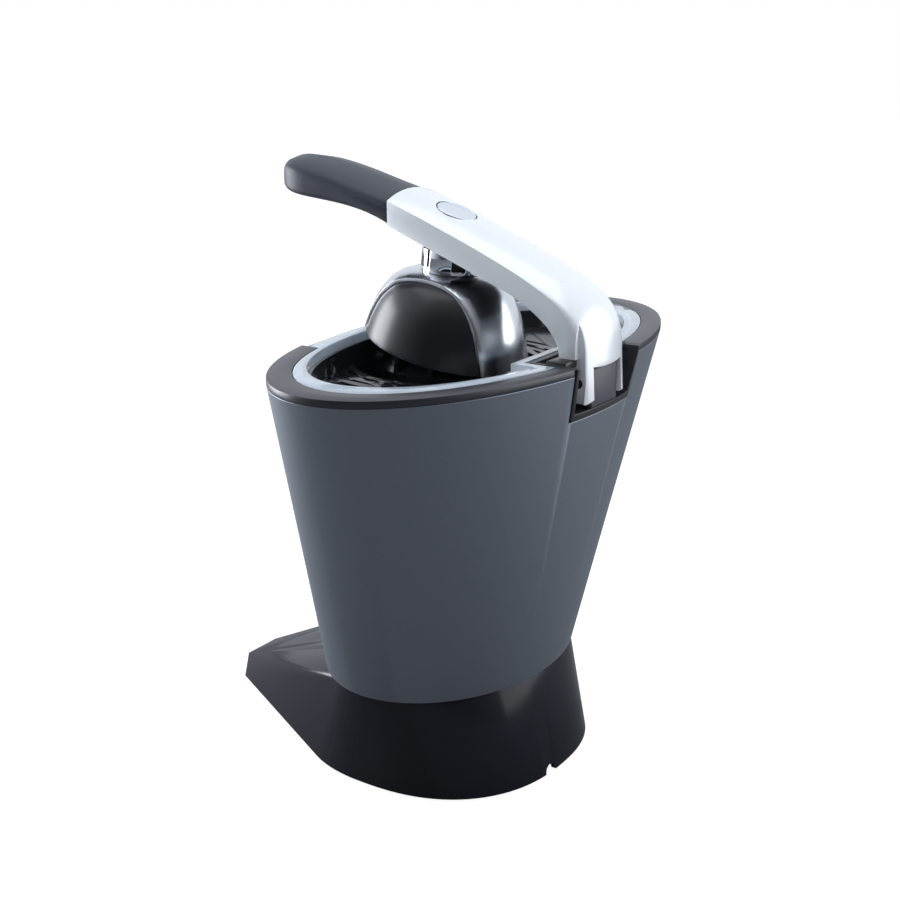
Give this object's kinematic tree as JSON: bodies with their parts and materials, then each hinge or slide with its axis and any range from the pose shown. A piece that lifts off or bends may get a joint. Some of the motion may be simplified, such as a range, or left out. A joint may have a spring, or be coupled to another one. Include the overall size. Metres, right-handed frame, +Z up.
{
  "type": "citrus press juicer",
  "caption": "Oval metal citrus press with a lever arm, a chrome-banded domed press head, a ribbed reamer, a clear juice tray and a gloss black base with a long foot",
  "frame": {"origin": "on the vertical drive axis of the reamer, at the ground under the rubber feet", "axes": "+X to the right as seen by the person who pulls the lever, +Y from the spout to the hinge, +Z up"},
  "size_m": [0.2888, 0.2366, 0.3177],
  "materials": {
    "brushed_metal": "satin, fine vertical brushing",
    "cast_silver": "satin silver lacquer",
    "chrome": "polished",
    "gloss_black": "gloss black",
    "satin_black": "satin black",
    "dark_grey": "satin dark grey",
    "clear_plastic": "clear, dotted on the lip",
    "smoke_plastic": "glossy smoked",
    "button_silver": "satin silver",
    "steel": "ground steel",
    "zinc": "zinc plated sheet",
    "rubber": "matt black",
    "nylon": "natural nylon",
    "bronze": "sintered bronze",
    "red_plastic": "satin red"
  },
  "bodies": {
    "base": {"body_shell": "brushed_metal", "rim_right": "satin_black", "rim_left": "satin_black", "inner_tub": "satin_black", "hinge_housing": "satin_black", "hinge_tower": "dark_grey", "hinge_pin": "steel", "hinge_spring": "steel", "base_housing": "gloss_black", "base_plate": "dark_grey", "base_screws": "zinc", "rubber_feet": "rubber", "motor_can": "zinc", "gear_case": "dark_grey", "gear_cover": "dark_grey", "idler_axle": "steel", "start_switch": "dark_grey", "shaft_bush": "bronze", "shaft_seal": "rubber", "juice_tray": "clear_plastic", "strainer": "satin_black"},
    "arm": {"lever_arm": "cast_silver", "arm_grip": "satin_black", "arm_tang": "dark_grey", "under_plate": "dark_grey", "button_spring": "steel", "press_band": "chrome", "press_bowl": "gloss_black", "press_collar": "chrome", "collar_core": "satin_black"},
    "button": {"release_button": "button_silver"},
    "output": {"output_gear": "nylon"},
    "spindle": {"drive_shaft": "steel", "reamer": "smoke_plastic", "shaft_spring": "steel"},
    "idler": {"idler_gear": "nylon"},
    "rotor": {"motor_rotor": "steel"},
    "plunger": {"switch_plunger": "red_plastic"}
  },
  "joints": [
    {"name": "arm_hinge", "type": "hinge", "parent": "base", "child": "arm", "pos_m": [0, 0.088, 0.218], "axis": [-1, 0, 0], "range_deg": [0, 75]},
    {"name": "button_press", "type": "slide", "parent": "arm", "child": "button", "axis": [0, -0.3649, -0.9311], "range_m": [0, 0.0016], "stiffness_N_per_m": 400, "springref_m": -0.001, "deforming": ["button_spring"]},
    {"name": "output_spin", "type": "hinge", "parent": "base", "child": "output", "pos_m": [0, 0, 0.1325], "axis": [0, 0, 1], "continuous": true},
    {"name": "start_press", "type": "slide", "parent": "output", "child": "spindle", "axis": [0, 0, -1], "range_m": [0, 0.0015], "stiffness_N_per_m": 1500, "springref_m": -0.003, "deforming": ["shaft_spring"]},
    {"name": "idler_spin", "type": "hinge", "parent": "base", "child": "idler", "pos_m": [0.032, 0, 0.13], "axis": [0, 0, 1], "continuous": true},
    {"name": "motor_spin", "type": "hinge", "parent": "base", "child": "rotor", "pos_m": [0, 0, 0.09], "axis": [0, 0, 1], "continuous": true},
    {"name": "plunger_press", "type": "slide", "parent": "base", "child": "plunger", "axis": [0, 0, -1], "range_m": [0, 0.0015]}
  ],
  "couplings": [
    {"joint": "idler_spin", "follows": "output_spin", "ratio": -3},
    {"joint": "motor_spin", "follows": "output_spin", "ratio": 10.714},
    {"joint": "plunger_press", "follows": "start_press", "ratio": 1}
  ]
}
